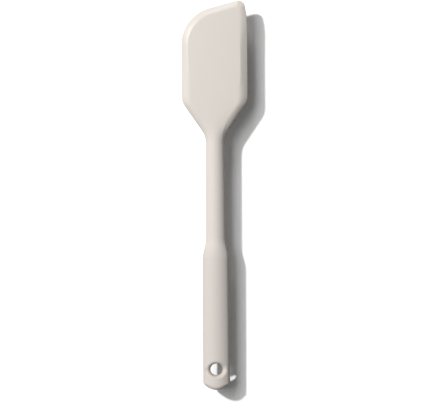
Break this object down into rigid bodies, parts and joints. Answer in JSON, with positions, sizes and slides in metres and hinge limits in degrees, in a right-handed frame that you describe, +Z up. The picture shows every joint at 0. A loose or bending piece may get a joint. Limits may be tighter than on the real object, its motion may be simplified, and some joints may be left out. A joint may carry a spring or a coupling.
{
  "type": "silicone spatula",
  "caption": "One-piece silicone spatula with a slanted thin-lipped blade, oval shaft and grip, hang hole, and a stiff steel and nylon core sealed inside.",
  "frame": {"origin": "on the long axis at half the length, at the height of the handle's lowest line, where the spatula lies on a table", "axes": "+Y along the shaft to the blade's tip, +X across the blade to its pointed corner, +Z up from the table"},
  "size_m": [0.0526, 0.31, 0.0144],
  "materials": {
    "silicone": "matte moulded silicone, warm oat grey",
    "steel": "rolled stainless strip",
    "nylon": "glass-filled nylon, fine grain"
  },
  "bodies": {
    "root": {"silicone_skin": "silicone", "steel_spine": "steel", "handle_core": "nylon"}
  },
  "joints": []
}
